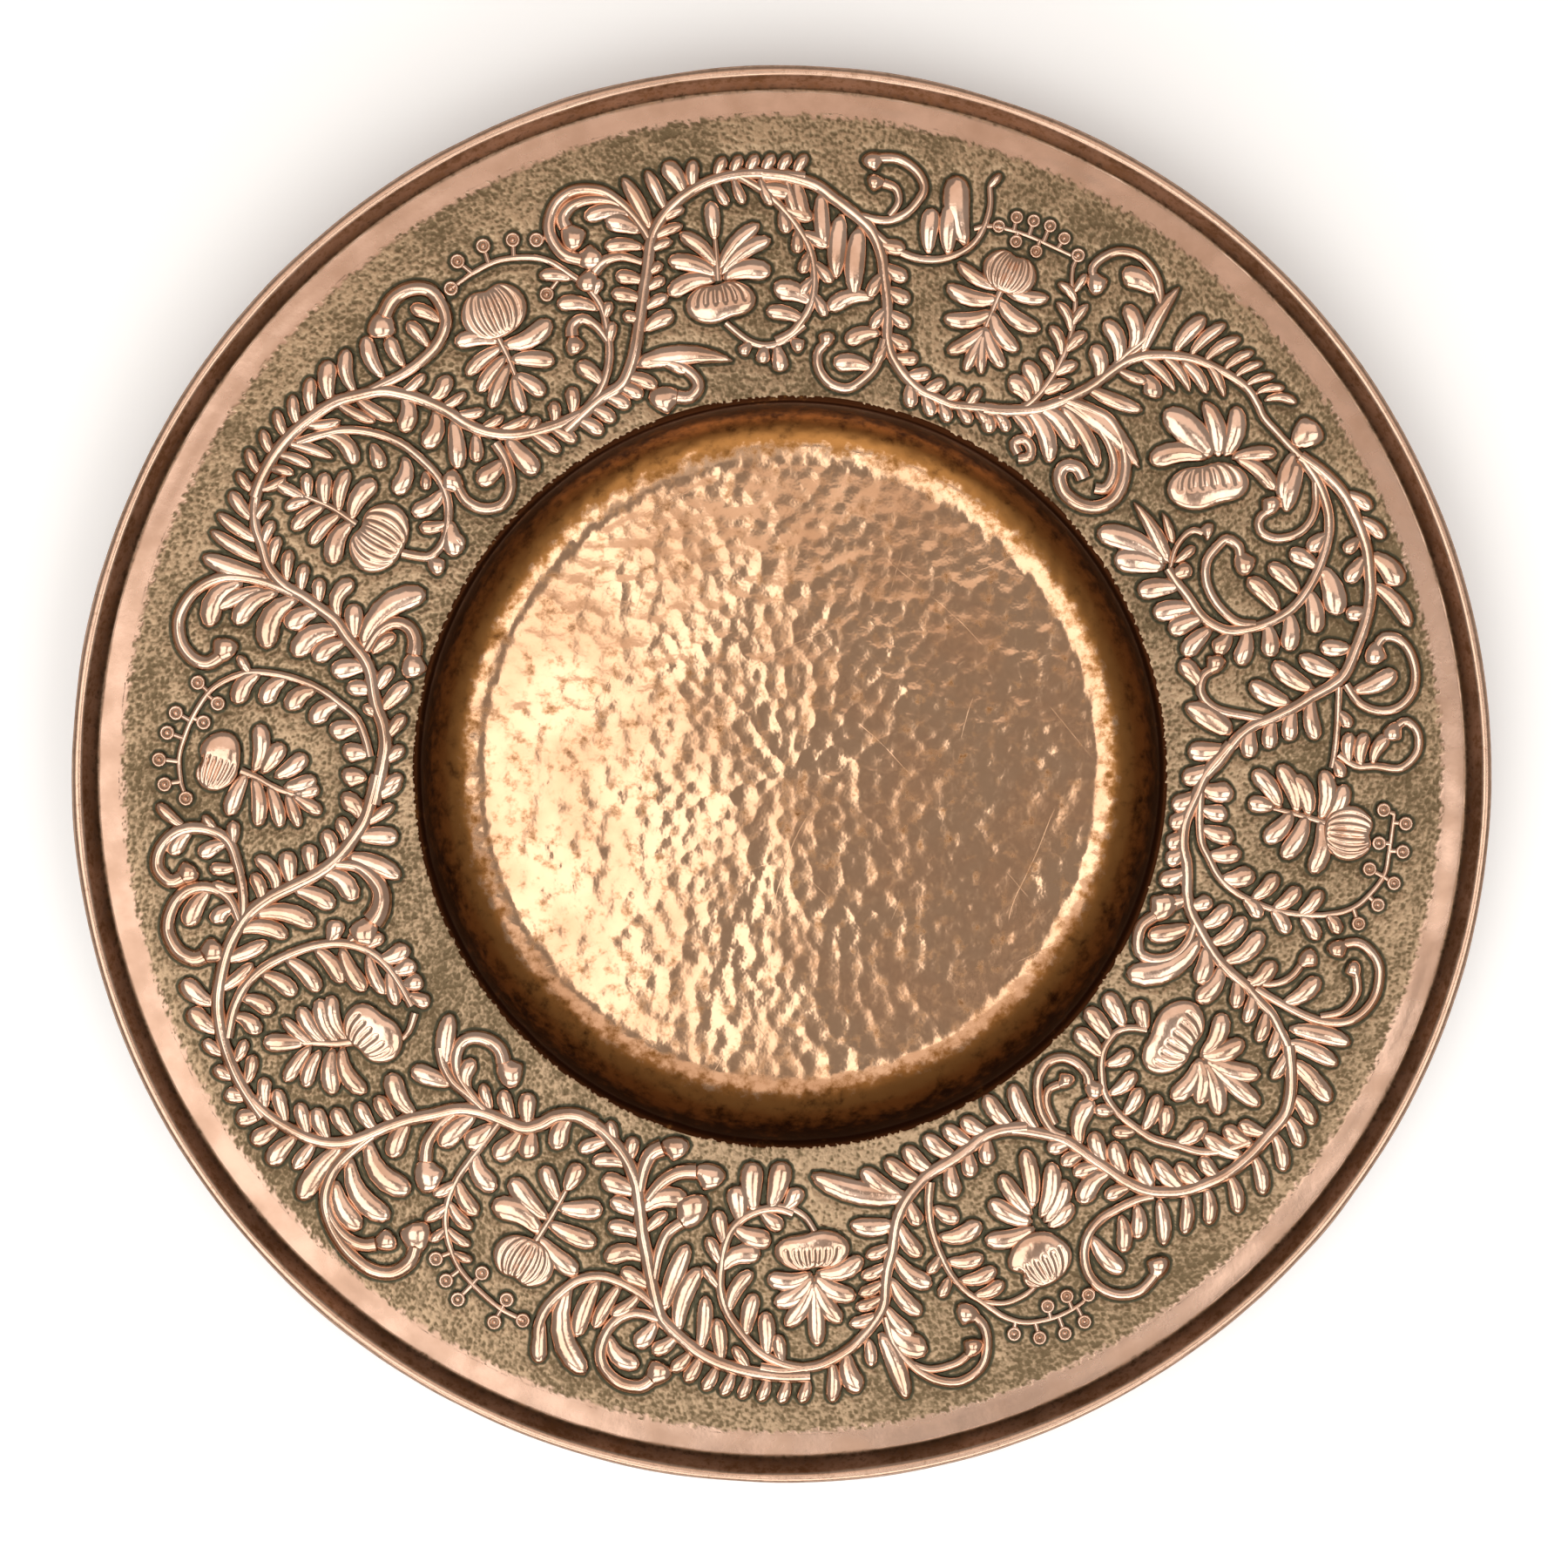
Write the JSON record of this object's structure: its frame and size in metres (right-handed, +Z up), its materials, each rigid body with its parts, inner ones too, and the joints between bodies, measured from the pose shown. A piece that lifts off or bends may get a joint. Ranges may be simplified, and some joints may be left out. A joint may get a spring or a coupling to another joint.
{
  "type": "copper tray",
  "caption": "Round copper serving tray with a deep hammered well, a broad chased flange and an upturned lip rolled over a wire.",
  "frame": {"origin": "centre of the tray on the plane it stands on, under the middle of its outer edge", "axes": "+Z up through the tray, +Y towards the side where the flange is a little narrower, +X to the right of it"},
  "size_m": [0.48, 0.48, 0.0364],
  "materials": {
    "copper": "aged copper, chased and matted on the flange, hammered and polished in the well",
    "copper_wire": "drawn copper wire, dull"
  },
  "bodies": {
    "root": {"tray_sheet": "copper", "edge_wire": "copper_wire"}
  },
  "joints": []
}
